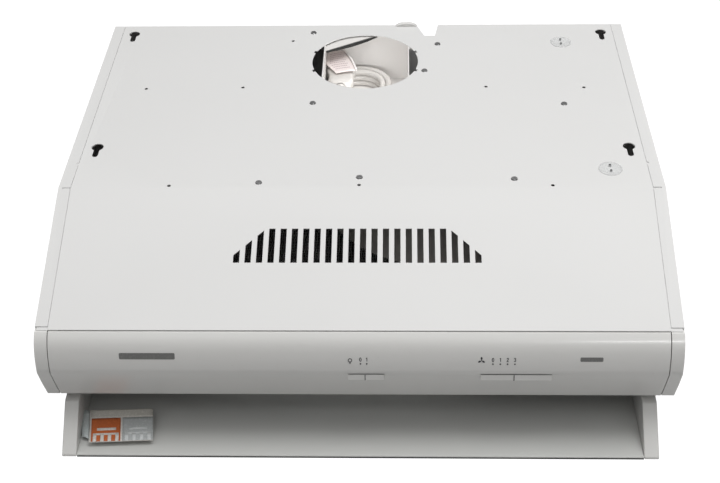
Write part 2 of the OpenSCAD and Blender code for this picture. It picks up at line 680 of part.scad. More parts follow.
// Low rounded ridge along the rear edge, beside the cable notch.
module notch_saddle() {
  color("white") intersection() {
    hull() for (x = [44, 50]) at(x, 1, hood_h - 10) sphere(r = 14, $fn = 32);
    block([30, 64], [0, 4], [hood_h, hood_h + 8]);
  }
}
module clear_discs() {
  color("lightcyan") for (p = disc_spots) at(p[0], p[1], hood_h) difference() {
    cylinder(r = 12, h = 2);
    for (y = [-4.5, 4.5]) translate([0, y, -1]) cylinder(r = 1.5, h = 4);
  }
}
module screw(length) {
  translate([0, 0, -length]) cylinder(r = screw_r, h = length);
  difference() {
    cylinder(r1 = 3.6, r2 = 3, h = 1, $fn = 24);
    for (a = [0, 90]) rotate(a) translate([-2, -0.35, 0.5]) cube([4, 0.7, 1]);
  }
}
module top_screws() {
  color("silver") for (p = screw_spots) at(p[0], p[1], hood_h) screw(7);
}
module fascia_screws() {
  color("silver") for (x = [-250, -80, 80, 250])
    at(x, 477, fascia_top[1] - 2.5) mirror([0, 0, 1]) screw(1.5);
}
module base_screws() {
  color("silver") for (x = [-290, 290], d = foot_screws) at(x, d, base_z) screw(1.5);
}

top_panel();
side_panel_left();
side_panel_right();
back_panel();
base_frame();
front_plate();
fascia();
end_cap_left();
end_cap_right();
light_knob();
fan_knob();
light_switch();
fan_switch();
switch_bracket();
visor_tray();
visor_seal();
visor_cheek_left();
visor_cheek_right();
visor_guide_left();
visor_guide_right();
visor_sticker();
filter_grille();
filter_mesh();
filter_clips();
grille_hinge_pins();
lamp_lens();
lamp_reflector();
lamp_holder();
lamp_bulb();
outlet_box();
blower_housing();
blower_cover();
impeller();
impeller_nut();
motor_shaft();
motor_body();
motor_bushes();
capacitor();
terminal_box();
terminal_lid();
wiring_loom();
lead_gland();
mains_lead();
mains_coil();
lead_to_plug();
mains_plug();
lead_tag();
notch_saddle();
clear_discs();
outlet_seal();
top_screws();
fascia_screws();
base_screws();
blower_screws();
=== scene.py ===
"""The looks of a 60 cm cooker hood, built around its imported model.

Lengths are in metres. Places given to place() and outlines on the fascia are in millimetres.
"""

import json
import math

import bmesh
import bpy
from mathutils import Matrix, Vector


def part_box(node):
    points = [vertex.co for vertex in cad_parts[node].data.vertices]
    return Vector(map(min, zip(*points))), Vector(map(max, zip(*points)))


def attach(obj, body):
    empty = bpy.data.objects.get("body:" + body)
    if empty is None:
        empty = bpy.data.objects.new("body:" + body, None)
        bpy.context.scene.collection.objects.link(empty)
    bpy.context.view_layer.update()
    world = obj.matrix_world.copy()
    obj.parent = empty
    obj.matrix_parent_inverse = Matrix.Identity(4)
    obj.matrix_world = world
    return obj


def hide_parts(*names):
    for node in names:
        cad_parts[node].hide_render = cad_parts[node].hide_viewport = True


MM = 0.001

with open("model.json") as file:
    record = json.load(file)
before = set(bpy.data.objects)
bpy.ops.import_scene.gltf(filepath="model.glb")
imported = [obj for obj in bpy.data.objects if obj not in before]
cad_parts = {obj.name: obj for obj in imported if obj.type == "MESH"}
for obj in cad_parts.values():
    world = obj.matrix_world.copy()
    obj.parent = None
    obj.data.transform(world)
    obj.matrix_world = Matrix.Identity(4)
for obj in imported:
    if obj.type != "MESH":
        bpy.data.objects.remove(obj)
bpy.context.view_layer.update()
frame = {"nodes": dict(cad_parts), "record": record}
NODES = frame["nodes"]

# Places that the frame gives.
REAR_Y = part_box("back_panel")[1].y


def place(x, depth, z):
    """A point from its side, its depth in front of the rear face and its height, in millimetres."""
    return Vector((x * MM, REAR_Y - depth * MM, z * MM))


# ---------------------------------------------------------------- camera


def make_camera():
    data = bpy.data.cameras.new("camera")
    data.lens = 65.27
    data.sensor_width = 36
    data.clip_end = 20
    camera = bpy.data.objects.new("camera", data)
    pitch, yaw, roll = math.radians(37.844), math.radians(-2.193), math.radians(-1.342)
    camera.location = (0.0390, -1.1186, 0.9305)
    camera.matrix_world = (
        Matrix.Translation(camera.location)
        @ Matrix.Rotation(-yaw, 4, "Z")
        @ Matrix.Rotation(math.pi / 2 - pitch, 4, "X")
        @ Matrix.Rotation(roll, 4, "Z")
    )
    bpy.context.scene.collection.objects.link(camera)
    bpy.context.scene.camera = camera


make_camera()

# ---------------------------------------------------------------- materials


class Nodes:
    """Short calls that add shader nodes to one material."""

    def __init__(self, name):
        self.material = bpy.data.materials.new(name)
        self.material.use_nodes = True
        self.tree = self.material.node_tree
        self.shader = self.tree.nodes["Principled BSDF"]
        self.coords = self.add("ShaderNodeTexCoord").outputs["Object"]

    def add(self, kind, inputs=None, **settings):
        node = self.tree.nodes.new(kind)
        for key, value in settings.items():
            setattr(node, key, value)
        for key, value in (inputs or {}).items():
            if isinstance(value, bpy.types.NodeSocket):
                self.tree.links.new(value, node.inputs[key])
            else:
                node.inputs[key].default_value = value
        return node

    def link(self, socket, name):
        self.tree.links.new(socket, self.shader.inputs[name])

    def set(self, **values):
        for key, value in values.items():
            self.shader.inputs[key.replace("_", " ")].default_value = value

    def noise(self, scale, detail=4.0, roughness=0.55, stretch=None):
        vector = self.coords
        if stretch:
            mapped = self.add("ShaderNodeMapping", {"Vector": self.coords, "Scale": stretch})
            vector = mapped.outputs["Vector"]
        made = self.add("ShaderNodeTexNoise", {"Vector": vector, "Scale": scale, "Detail": detail,
                                               "Roughness": roughness})
        return made.outputs["Fac"]

    def ramp(self, fac, *stops):
        made = self.add("ShaderNodeValToRGB", {"Fac": fac})
        band = made.color_ramp
        while len(band.elements) < len(stops):
            band.elements.new(0.5)
        for element, (at, colour) in zip(band.elements, stops):
            element.position = at
            element.color = colour if isinstance(colour, tuple) else (colour, colour, colour, 1)
        return made.outputs["Color"]

    def mix(self, fac, a, b, blend="MIX"):
        made = self.add("ShaderNodeMix", data_type="RGBA", blend_type=blend)
        for socket, value in ((made.inputs[0], fac), (made.inputs[6], a), (made.inputs[7], b)):
            if isinstance(value, bpy.types.NodeSocket):
                self.tree.links.new(value, socket)
            else:
                socket.default_value = value
        return made.outputs[2]

    def bump(self, height, strength, distance):
        made = self.add("ShaderNodeBump", {"Height": height, "Strength": strength, "Distance": distance})
        self.tree.links.new(made.outputs["Normal"], self.shader.inputs["Normal"])


def rgb(red, green, blue):
    return (red, green, blue, 1.0)


def shade(colour, factor):
    return (colour[0] * factor, colour[1] * factor, colour[2] * factor, 1.0)


def moulding(name, colour, rough, grain=900, coat=0.0):
    """Moulded plastic: an even tone with a few tiny specks, and a very fine grain."""
    n = Nodes(name)
    tone = n.ramp(n.noise(4, 2), (0.3, shade(colour, 0.98)), (0.7, shade(colour, 1.0)))
    specks = n.ramp(n.noise(420, 1, 0.3), (0.80, 0.0), (0.83, 0.35))
    n.link(n.mix(specks, tone, shade(colour, 0.75)), "Base Color")
    n.link(n.ramp(n.noise(5, 2), (0.35, rough * 0.96), (0.7, min(1, rough * 1.05))), "Roughness")
    n.bump(n.noise(grain, 2), 0.04, 0.0003)
    n.set(Coat_Weight=coat, Coat_Roughness=0.12, IOR=1.5)
    return n.material


def enamel(name, colour, rough):
    """Stoved enamel on steel: a fine orange peel, a slight yellowing and faint handling marks."""
    n = Nodes(name)
    tone = n.ramp(n.noise(3.2, 3), (0.25, shade(colour, 0.975)), (0.75, shade(colour, 1.0)))
    marks = n.ramp(n.noise(34, 6, 0.72), (0.70, 0.0), (0.78, 0.08))
    n.link(n.mix(marks, tone, shade(colour, 0.78)), "Base Color")
    smears = n.noise(9, 4, 0.6, (1.0, 3.5, 1.0))
    n.link(n.ramp(smears, (0.3, rough * 0.92), (0.7, rough * 1.12)), "Roughness")
    n.bump(n.noise(520, 2), 0.08, 0.0003)
    n.set(IOR=1.5, Coat_Weight=0.1, Coat_Roughness=0.2)
    return n.material


def galvanised():
    """Zinc coated sheet: flat spangles of slightly different grey."""
    n = Nodes("galvanised_steel")
    cells = n.add("ShaderNodeTexVoronoi", {"Vector": n.coords, "Scale": 130.0})
    grey = n.ramp(cells.outputs["Color"], (0.0, 0.42), (1.0, 0.60))
    n.link(grey, "Base Color")
    n.link(n.ramp(cells.outputs["Color"], (0.0, 0.32), (1.0, 0.48)), "Roughness")
    n.set(Metallic=1.0)
    return n.material


def bright_metal(name, grey, rough, stretch=(1, 1, 1)):
    """Plated or turned metal: fine lines and a few dull spots."""
    n = Nodes(name)
    lines = n.noise(420, 3, 0.5, stretch)
    n.link(n.ramp(lines, (0.3, grey * 0.84), (0.7, grey)), "Base Color")
    n.link(n.ramp(n.noise(60, 4), (0.3, rough * 0.8), (0.7, rough * 1.4)), "Roughness")
    n.bump(lines, 0.12, 0.0002)
    n.set(Metallic=1.0)
    return n.material


def knitted_mesh():
    """Grease filter mesh: many fine crossing alloy wires."""
    n = Nodes("knitted_alloy")
    knit = {"Vector": n.coords, "Scale": 110.0, "Distortion": 4.0, "Detail": 1.0}
    first = n.add("ShaderNodeTexWave", knit)
    second = n.add("ShaderNodeTexWave", knit, bands_direction="Y")
    wires = n.mix(1.0, first.outputs["Color"], second.outputs["Color"], "LIGHTEN")
    n.link(n.ramp(wires, (0.45, 0.06), (0.8, 0.72)), "Base Color")
    n.link(n.ramp(wires, (0.4, 0.7), (0.8, 0.3)), "Roughness")
    n.bump(wires, 0.8, 0.0012)
    n.set(Metallic=1.0)
    return n.material


def clear_plastic(name, colour, rough, alpha):
    """Clear or frosted moulding, with a faint ripple."""
    n = Nodes(name)
    n.link(n.ramp(n.noise(40, 3), (0.3, shade(colour, 0.93)), (0.7, colour)), "Base Color")
    n.bump(n.noise(150, 2), 0.1, 0.0004)
    n.set(Roughness=rough, IOR=1.46, Alpha=alpha, Coat_Weight=0.4, Coat_Roughness=0.08)
    return n.material


def lead_pvc():
    """Flexible lead sheath: a dull sheen with faint ridges along its length."""
    n = Nodes("lead_sheath")
    clouds = n.noise(30, 4)
    n.link(n.ramp(clouds, (0.3, rgb(0.50, 0.48, 0.455)), (0.7, rgb(0.60, 0.58, 0.555))), "Base Color")
    n.link(n.ramp(n.noise(90, 3), (0.3, 0.36), (0.7, 0.52)), "Roughness")
    n.bump(n.noise(700, 2), 0.15, 0.0003)
    n.set(IOR=1.5)
    return n.material


def paper(name, colour):
    """Uncoated paper with fibre flecks."""
    n = Nodes(name)
    fibres = n.noise(600, 5, 0.7, (1, 0.3, 1))
    n.link(n.ramp(fibres, (0.3, shade(colour, 0.92)), (0.7, colour)), "Base Color")
    n.bump(fibres, 0.2, 0.0002)
    n.set(Roughness=0.85)
    return n.material


def print_ink(name, colour):
    """Screen printed ink, worn a little thin."""
    n = Nodes(name)
    worn = n.noise(500, 4, 0.7)
    n.link(n.ramp(worn, (0.25, shade(colour, 1.35)), (0.5, colour)), "Base Color")
    n.set(Roughness=0.45)
    return n.material


MATERIALS = {
    "white_steel": enamel("white_enamel", rgb(0.700, 0.697, 0.688), 0.42),
    "galvanised_steel": galvanised(),
    "bright_steel": bright_metal("zinc_plate", 0.52, 0.30),
    "white_plastic": moulding("white_moulding", rgb(0.700, 0.694, 0.674), 0.24, 1100, 0.35),
    "visor_panel": enamel("visor_enamel", rgb(0.560, 0.564, 0.545), 0.40),
    "visor_plastic": moulding("visor_moulding", rgb(0.640, 0.636, 0.616), 0.30, 1100, 0.15),
    "natural_plastic": moulding("natural_moulding", rgb(0.66, 0.63, 0.60), 0.42, 700),
    # Dark moulding for the dark plastic parts, and also for the dark quads and cylinders of painted shade in
    # the slider gaps and the dome holes.
    "dark_plastic": moulding("dark_moulding_and_shade", rgb(0.035, 0.035, 0.038), 0.40, 900),
    "motor_metal": moulding("motor_paint", rgb(0.09, 0.095, 0.105), 0.50, 300),
    "alloy_mesh": knitted_mesh(),
    "alloy": bright_metal("bright_alloy", 0.80, 0.22, (1, 12, 1)),
    "clear_plastic": clear_plastic("clear_moulding", rgb(0.93, 0.94, 0.94), 0.10, 0.28),
    "frosted_lens": clear_plastic("frosted_moulding", rgb(0.90, 0.90, 0.86), 0.45, 0.82),
    "lead_pvc": lead_pvc(),
    "paper": paper("tag_paper", rgb(0.80, 0.72, 0.70)),
    "sticker": moulding("sticker_film", rgb(0.62, 0.60, 0.56), 0.35, 600),
    # Black rubber for the seal strip under the visor's front edge. The strip stands for the dark shadow line
    # under that edge, so its black is painted shade.
    "rubber": moulding("black_rubber_and_shade", rgb(0.02, 0.02, 0.02), 0.62, 500),
}
BOX_PLASTIC = moulding("box_moulding", rgb(0.72, 0.70, 0.68), 0.45, 700)
WHITE_PAPER = paper("tag_back", rgb(0.90, 0.87, 0.85))
INK_DARK = print_ink("ink_dark", rgb(0.03, 0.03, 0.035))
INK_LINE = print_ink("ink_line", rgb(0.42, 0.33, 0.34))
# Grey ink for the plain printed bars, and also for the painted shadow line beside each slider's pointer.
INK_GREY_AND_SHADE = print_ink("ink_grey", rgb(0.16, 0.16, 0.155))
ORANGE = print_ink("ink_orange", rgb(0.50, 0.125, 0.035))
PALE = print_ink("ink_pale", rgb(0.66, 0.63, 0.59))
GREY_BLUE = print_ink("ink_grey_blue", rgb(0.44, 0.46, 0.46))
BRIGHT = print_ink("ink_bright", rgb(0.62, 0.64, 0.64))
STRIP_BLUE = print_ink("ink_strip", rgb(0.46, 0.50, 0.50))
SILVER_BAND = print_ink("ink_silver", rgb(0.55, 0.53, 0.48))

SLOT_OF = {s["node"]: s["material_slot"] for s in frame["record"]["subparts"]}
BODY_OF = {n: body for body, names in frame["record"]["behaviour"]["bodies"].items() for n in names}


def paint(piece, slot, material=None):
    """Gives a piece one material: the one given, else the material of the record's slot that it belongs to.
    """
    piece.data.materials.clear()
    piece.data.materials.append(material or MATERIALS[slot])


for name, node_object in NODES.items():
    material = MATERIALS[SLOT_OF[name]]
    slots = node_object.data.materials
    for index in range(len(slots)):
        slots[index] = material
    if not slots:
        slots.append(material)

# ---------------------------------------------------------------- mesh helpers


def new_object(name, data, body, slot, material=None):
    piece = bpy.data.objects.new(name, data)
    bpy.context.scene.collection.objects.link(piece)
    paint(piece, slot, material)
    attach(piece, body)
    return piece


def mesh_object(name, points, faces, body, slot, material=None, smooth=False):
    mesh = bpy.data.meshes.new(name)
    mesh.from_pydata([tuple(p) for p in points], [], faces)
    mesh.validate()
    bm = bmesh.new()
    bm.from_mesh(mesh)
    bmesh.ops.remove_doubles(bm, verts=bm.verts, dist=1e-7)
    bmesh.ops.recalc_face_normals(bm, faces=bm.faces)
    bm.to_mesh(mesh)
    bm.free()
    for polygon in mesh.polygons:
        polygon.use_smooth = smooth
    return new_object(name, mesh, body, slot, material)


def softened(node, width, material=None):
    """A copy of a CAD node with its true edges rounded, which stands for the node."""
    weld, flat = 2e-6, math.radians(0.6)
    bm = bmesh.new()
    bm.from_mesh(NODES[node].data)
    bmesh.ops.remove_doubles(bm, verts=bm.verts, dist=weld)
    bmesh.ops.dissolve_limit(bm, angle_limit=flat, verts=bm.verts, edges=bm.edges, delimit={"NORMAL"})
    mesh = bpy.data.meshes.new(node + "_shell")
    bm.to_mesh(mesh)
    bm.free()
    for polygon in mesh.polygons:
        polygon.use_smooth = True
    piece = new_object(node + "_soft", mesh, BODY_OF[node], SLOT_OF[node], material)
    bevel = piece.modifiers.new("edge", "BEVEL")
    bevel.width = width
    bevel.segments = 2
    bevel.limit_method = "ANGLE"
    bevel.angle_limit = math.radians(35)
    bevel.harden_normals = False
    piece.modifiers.new("normals", "WEIGHTED_NORMAL").keep_sharp = False
    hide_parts(node)


def lathe(name, profile, body, slot, steps=48, matrix=Matrix(), material=None):
    """A turned solid from points of radius and height, about its own Z."""
    points, faces = [], []
    for k in range(steps):
        a = 2 * math.pi * k / steps
        for radius, height in profile:
            points.append(matrix @ Vector((radius * math.cos(a), radius * math.sin(a), height)))
    n = len(profile)
    for k in range(steps):
        for i in range(n - 1):
            a, b = k * n + i, ((k + 1) % steps) * n + i
            faces.append((a, b, b + 1, a + 1))
    return mesh_object(name, points, faces, body, slot, material, True)


# ---------------------------------------------------------------- mains lead

LEAD_R = 0.0035
# The mouth of the strain relief: side, depth and height.
GLAND_TIP = (28, 116.5, 132.5)
# The coil's turns are half-circles joined by straight sides. These are the centres of the
# half-circles, side to side and in depth.
COIL_X = -8.0
COIL_REAR, COIL_FRONT = 64.0, 82.0
# Radius and height of each turn, in the order that the lead follows.
TURNS = [(34.5, 132.5), (34.5, 125.5), (27.5, 125.5), (27.5, 132.5), (27.5, 139.5), (34.5, 139.5)]
# The part of its last turn that the lead follows, before it climbs to the plug by these points.
LAST_TURN = 0.8
TAIL = [(26.5, 84, 140.8), (27.3, 95, 142), (27, 105, 143.1), (24.6, 116, 144.2), (18.8, 124.8, 145.3),
        (8.6, 131.3, 146.5), (-1, 133, 147.6), (-10.6, 131.3, 148.7), (-20.8, 124.8, 149.9),
        (-26.2, 116, 150.8), (-28.5, 106, 151.4)]


def smooth_step(t):
    t = max(0.0, min(1.0, t))
    return t * t * (3 - 2 * t)


def turn_point(radius, fraction):
    """Side and depth of a point on one turn, clockwise from the turn's front."""
    run = COIL_FRONT - COIL_REAR
    arc = math.pi * radius
    along = fraction * (2 * arc + 2 * run)
    if along < arc / 2:
        a = along / radius
        return COIL_X - radius * math.sin(a), COIL_FRONT + radius * math.cos(a)
    along -= arc / 2
    if along < run:
        return COIL_X - radius, COIL_FRONT - along
    along -= run
    if along < arc:
        a = along / radius
        return COIL_X - radius * math.cos(a), COIL_REAR - radius * math.sin(a)
    along -= arc
    if along < run:
        return COIL_X + radius, COIL_REAR + along
    a = (along - run) / radius
    return COIL_X + radius * math.cos(a), COIL_FRONT + radius * math.sin(a)


def coil_route():
    """The lead's centreline: out of the gland, round the coil and up to the plug."""
    tip_x, tip_depth, tip_z = GLAND_TIP
    run_in, spacing = 12, 3
    route = [place(tip_x - spacing * k, tip_depth, tip_z) for k in range(run_in)]
    # A turn is drawn in so many steps, and from a part of it on, it passes over to the next turn.
    steps, change, last_change = 30, 0.78, 0.6
    for turn, (radius, height) in enumerate(TURNS):
        last = turn == len(TURNS) - 1
        next_radius, next_height = (radius, TAIL[0][2]) if last else TURNS[turn + 1]
        for k in range(round(steps * LAST_TURN) if last else steps):
            t = smooth_step((k / steps - (last_change if last else change)) / (1 - change))
            x, depth = turn_point(radius + (next_radius - radius) * t, k / steps)
            route.append(place(x, depth, height + (next_height - height) * t))
    return route + [place(*p) for p in TAIL[1:]]


def resample(points, step):
    """Points about a step apart on the smooth curve through the given ones."""
    out = [points[0]]
    n = len(points)
    for i in range(n - 1):
        p0, p1, p2, p3 = (points[max(0, min(n - 1, i + k))] for k in (-1, 0, 1, 2))
        pieces = max(1, round((p2 - p1).length / step))
        for k in range(1, pieces + 1):
            t = k / pieces
            out.append(0.5 * ((2 * p1) + (p2 - p0) * t + (2 * p0 - 5 * p1 + 4 * p2 - p3) * t * t
                              + (3 * p1 - p0 - 3 * p2 + p3) * t ** 3))
    return out


def make_lead():
    curve = bpy.data.curves.new("lead_line", "CURVE")
    curve.dimensions = "3D"
    spline = curve.splines.new("POLY")
    fine = resample(coil_route(), 0.004)
    spline.points.add(len(fine) - 1)
    for point, target in zip(spline.points, fine):
        point.co = (*target, 1)
    curve.bevel_depth = LEAD_R
    curve.bevel_resolution = 5
    curve.use_fill_caps = True
    lead = new_object("mains_lead_flex", curve, "shell", "lead_pvc")
    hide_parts("mains_lead", "mains_coil", "lead_to_plug")
    return lead


def make_plug():
    """Flat two-pin plug: a waisted body, a ribbed neck and sleeved pins."""
    low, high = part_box("mains_plug")
    x, z = (low.x + high.x) / 2, (low.z + high.z) / 2
    front, pin_l, neck_l, pin_apart = low.y, 0.018, 0.016, 0.019
    body_start, body_end = front + neck_l, high.y - pin_l
    # The body's section is a rounded rectangle: the lower the power, the squarer it is.
    rings, corners, power = 14, 28, 0.42
    points, faces = [], []
    for i in range(rings + 1):
        t = i / rings
        y = body_start + (body_end - body_start) * t
        waist = 0.0030 * math.sin(math.pi * min(1, t * 1.15))
        shoulder = 0.0055 * (1 - smooth_step(t * 4.5))
        edge = 0.0010 if i == rings else 0.0
        half_x = 0.0168 - waist - shoulder - edge
        half_z = 0.0073 - 0.0012 * (1 - smooth_step(t * 5)) - edge
        for k in range(corners):
            a = 2 * math.pi * k / corners
            cx, cz = math.cos(a), math.sin(a)
            points.append((x + half_x * math.copysign(abs(cx) ** power, cx), y,
                           z + half_z * math.copysign(abs(cz) ** power, cz)))
    for i in range(rings):
        for k in range(corners):
            a, b = i * corners + k, i * corners + (k + 1) % corners
            faces.append((a, b, b + corners, a + corners))
    faces.append(tuple(range(corners)))
    faces.append(tuple(rings * corners + k for k in range(corners)))
    plug = mesh_object("plug_body", points, faces, "shell", "lead_pvc", None, True)
    to_rear = Matrix.Rotation(-math.pi / 2, 4, "X")
    neck = [(0.0036, 0)]
    ribs, groove = 5, 0.0008
    for k in range(ribs):
        start = 0.0006 + k * 0.0031
        r = 0.0042 + k * 0.0003
        neck += [(r, start), (r, start + 0.0018)]
        neck += [(r - groove, start + 0.0019), (r - groove, start + 0.0030)]
    neck += [(0.0056, neck_l), (0.0, neck_l + 0.001)]
    at_front = Matrix.Translation((x, front, z)) @ to_rear
    neck_piece = lathe("plug_neck", neck, "shell", "lead_pvc", 32, at_front)
    pins = []
    for side in (-1, 1):
        base = Matrix.Translation((x + side * pin_apart / 2, body_end, z)) @ to_rear
        sleeve = [(0.0, -0.001), (0.0020, -0.001), (0.0020, 0.0095), (0.0, 0.0096)]
        pins.append(lathe(f"pin_sleeve_{side + 1}", sleeve, "shell", "dark_plastic", 24, base))
        tip = [(0.0, 0.009), (0.0021, 0.009), (0.0021, 0.0166), (0.0013, 0.0176), (0.0, 0.0178)]
        pins.append(lathe(f"pin_tip_{side + 1}", tip, "shell", "bright_steel", 24, base))
    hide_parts("mains_plug")
    return [plug, neck_piece] + pins


def sheet(name, spot, cells, thick, body, slot, material):
    """A thin curved sheet from a function of two fractions and a height."""
    across, along = cells
    points, faces = [], []
    for layer in (0.0, -thick):
        for j in range(along + 1):
            for i in range(across + 1):
                points.append(spot(i / across, j / along, layer))
    row, count = across + 1, (across + 1) * (along + 1)
    for j in range(along):
        for i in range(across):
            a = j * row + i
            faces.append((a, a + 1, a + row + 1, a + row))
            faces.append((count + a, count + a + row, count + a + row + 1, count + a + 1))
    edge = list(range(row))
    edge += [j * row + across for j in range(1, along + 1)]
    edge += [along * row + i for i in range(across - 1, -1, -1)]
    edge += [j * row for j in range(along - 1, 0, -1)]
    for a, b in zip(edge, edge[1:] + edge[:1]):
        faces.append((a, b, b + count, a + count))
    return mesh_object(name, points, faces, body, slot, material, True)


def between(a, b, t):
    return tuple(p + (q - p) * t for p, q in zip(a, b))


def make_tag():
    """A paper tag with ruled lines of plain dashes, over the plug, its right edge rolled up."""
    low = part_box("lead_tag")[0].z
    # Corners and middles of its left and right edges, side and depth, from the rear to the front.
    rear_left, mid_left, front_left = (-46, 29), (-46, 56), (-34, 76)
    rear_right, mid_right, front_right = (-27.5, 24), (-18, 45), (-11.5, 70)
    mid = 0.58
    edge_lift, roll_lift, roll_r, roll_tilt = 1.0, 1.7, 1.35, 0.5

    def left_at(v):
        """The left edge, straight on both sides of its middle point."""
        if v < mid:
            return between(rear_left, mid_left, v / mid)
        return between(mid_left, front_left, (v - mid) / (1 - mid))

    def right_at(v):
        """The right edge, a curve through its middle point."""
        return tuple((1 - v) ** 2 * a + 2 * v * (1 - v) * (2 * m - (a + b) / 2) + v * v * b
                     for a, m, b in zip(rear_right, mid_right, front_right))

    def spot(u, v, up):
        x, depth = between(left_at(v), right_at(v), u)
        sag = 1.2 * math.sin(math.pi * u) * (1 - 0.6 * v)
        return place(x, depth, 0) + Vector((0, 0, low + (edge_lift + sag) * MM + up))

    def rolled(u, v, up):
        x, depth = right_at(v)
        a = math.radians(-60 + 250 * u) - roll_tilt
        radius = roll_r + up / MM
        height = low + (roll_lift + radius * math.sin(a)) * MM
        return place(x + 0.5 + radius * math.cos(a), depth + 0.2, 0) + Vector((0, 0, height))

    tag = sheet("tag_sheet", spot, (16, 16), 0.0003, "shell", "paper", MATERIALS["paper"])
    roll = sheet("tag_roll", rolled, (12, 16), 0.0003, "shell", "paper", WHITE_PAPER)
    points, faces = [], []
    lines, dashes, dash_w, dash_h = 9, 9, 0.058, 0.026
    for k in range(lines):
        v = 0.12 + 0.088 * k
        for i in range(dashes - k % 2):
            u = 0.14 + 0.075 * i
            start = len(points)
            for across, along in ((u, v), (u + dash_w, v), (u + dash_w, v + dash_h), (u, v + dash_h)):
                points.append(spot(across, along, 0.0001))
            faces.append((start, start + 1, start + 2, start + 3))
    rules = mesh_object("tag_rules", points, faces, "shell", "paper", INK_LINE)
    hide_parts("lead_tag")
    return [tag, roll, rules]


def make_gland():
    """Ribbed tapered strain relief with its flange, on the right wall of the outlet box."""
    low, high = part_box("lead_gland")
    y, z = (low.y + high.y) / 2, (low.z + high.z) / 2
    matrix = Matrix.Translation((high.x, y, z)) @ Matrix.Rotation(-math.pi / 2, 4, "Y")
    length = high.x - low.x
    bore = 0.0036
    flange = [(0.0078, 0.0), (0.0088, 0.0008), (0.0088, 0.0024), (0.0080, 0.0030), (0.0066, 0.0031)]
    profile = [(bore, 0.0)] + flange
    ribs, groove = 6, 0.0008
    start, step = 0.0055, (length - 0.0065) / ribs
    for k in range(ribs):
        r = 0.0064 - 0.0019 * k / ribs
        a = start + k * step
        profile += [(r, a), (r, a + 0.55 * step)]
        profile += [(r - groove, a + 0.62 * step), (r - groove, a + 0.94 * step)]
    profile += [(0.0040, length - 0.0002), (bore, length)]
    gland = lathe("gland_ribbed", profile, "shell", "lead_pvc", 36, matrix)
    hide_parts("lead_gland")
    return gland


lead = make_lead()
plug_pieces = make_plug()
tag_pieces = make_tag()
gland = make_gland()

# ---------------------------------------------------------------- shell

# How wide the rounding of each piece's edges is.
EDGES = {
    "top_panel": 0.0004, "side_panel_left": 0.0005, "side_panel_right": 0.0005,
    "back_panel": 0.0003, "base_frame": 0.0003, "filter_grille": 0.0004,
    "end_cap_left": 0.0012, "end_cap_right": 0.0012, "fascia": 0.0006,
    "light_knob": 0.0005, "fan_knob": 0.0005,
    "visor_tray": 0.0006, "visor_cheek_left": 0.0010, "visor_cheek_right": 0.0010,
    "terminal_box": 0.0008, "terminal_lid": 0.0006, "notch_saddle": 0.0012,
}
for node, width in EDGES.items():
    softened(node, width)
softened("outlet_box", 0.0003, BOX_PLASTIC)

# ---------------------------------------------------------------- prints on the fascia

# The fascia's section, depth and height: a curve from its top edge, pulled to a point, down to
# its crease, and a flat face from there to its lower bend.
FASCIA_TOP, FASCIA_PULL = (484.0, 126.5), (498.5, 116.0)
CREASE, FASCIA_BEND = (500.5, 90.0), (493.5, 70.0)
INK_PROUD = 0.12


def fascia_depth(z):
    """How far in front of the rear face the fascia's curve is at a height."""

    def along(t, axis):
        return ((1 - t) ** 2 * FASCIA_TOP[axis] + 2 * t * (1 - t) * FASCIA_PULL[axis]
                + t * t * CREASE[axis])

    low, high = 0.0, 1.0
    for _ in range(40):
        t = (low + high) / 2
        low, high = (t, high) if along(t, 1) > z else (low, t)
    return along(t, 0)


def print_shape(name, outlines, material=INK_DARK):
    """Flat printed areas: each outline is a list of points across and up the fascia."""
    points, faces = [], []
    for outline in outlines:
        start = len(points)
        points += [place(x, fascia_depth(z) + INK_PROUD, z) for x, z in outline]
        faces.append(tuple(range(start, len(points))))
    mesh_object(name, points, faces, "shell", "white_plastic", material)


def on_circle(x, z, r, degrees):
    return x + r * math.cos(math.radians(degrees)), z + r * math.sin(math.radians(degrees))


def circle(x, z, r, corners):
    return [on_circle(x, z, r, 360 * k / corners) for k in range(corners)]


def ribbon(line, width, closed=False):
    """Four-cornered outlines that follow a line at a width."""
    out = []
    ends = line[1:] + line[:1] if closed else line[1:]
    for (x0, z0), (x1, z1) in zip(line, ends):
        length = math.hypot(x1 - x0, z1 - z0)
        dx, dz = (x1 - x0) / length * width / 2, (z1 - z0) / length * width / 2
        out.append([(x0 - dz - dx * 0.5, z0 + dx - dz * 0.5), (x1 - dz + dx * 0.5, z1 + dx + dz * 0.5),
                    (x1 + dz + dx * 0.5, z1 - dx + dz * 0.5), (x0 + dz - dx * 0.5, z0 - dx - dz * 0.5)])
    return out


# The stroke of each digit on a field one wide and two high.
DIGITS = {
    "0": [(0.5 + 0.45 * math.cos(k * math.pi / 8), 1 + 0.95 * math.sin(k * math.pi / 8)) for k in range(17)],
    "1": [(0.2, 1.55), (0.6, 1.95), (0.6, 0.05)],
    "2": [(0.05, 1.5), (0.25, 1.9), (0.75, 1.9), (0.95, 1.45), (0.7, 1.0), (0.05, 0.1), (0.98, 0.1)],
    "3": [(0.05, 1.65), (0.35, 1.95), (0.8, 1.85), (0.9, 1.45), (0.55, 1.1), (0.92, 0.7), (0.85, 0.25),
          (0.45, 0.03), (0.03, 0.3)],
}


def digit(name, character, x, z, height, weight):
    scale = height / 2
    stroke = [(x + (u - 0.5) * scale, z + v * scale) for u, v in DIGITS[character]]
    print_shape(name, ribbon(stroke, weight))


def fan_icon(x, z, size):
    """Three blades round a hub."""
    shapes = [circle(x, z, size * 0.16, 14)]
    for k in range(3):
        turn = math.radians(90 + 120 * k)
        cos, sin = math.cos(turn), math.sin(turn)
        blade = []
        for along, across in circle(0, 0, 1, 18):
            u, v = size * (0.58 + 0.40 * along), size * 0.24 * across
            blade.append((x + u * cos - v * sin, z + u * sin + v * cos))
        shapes.append(blade)
    print_shape("print_fan_icon", shapes)


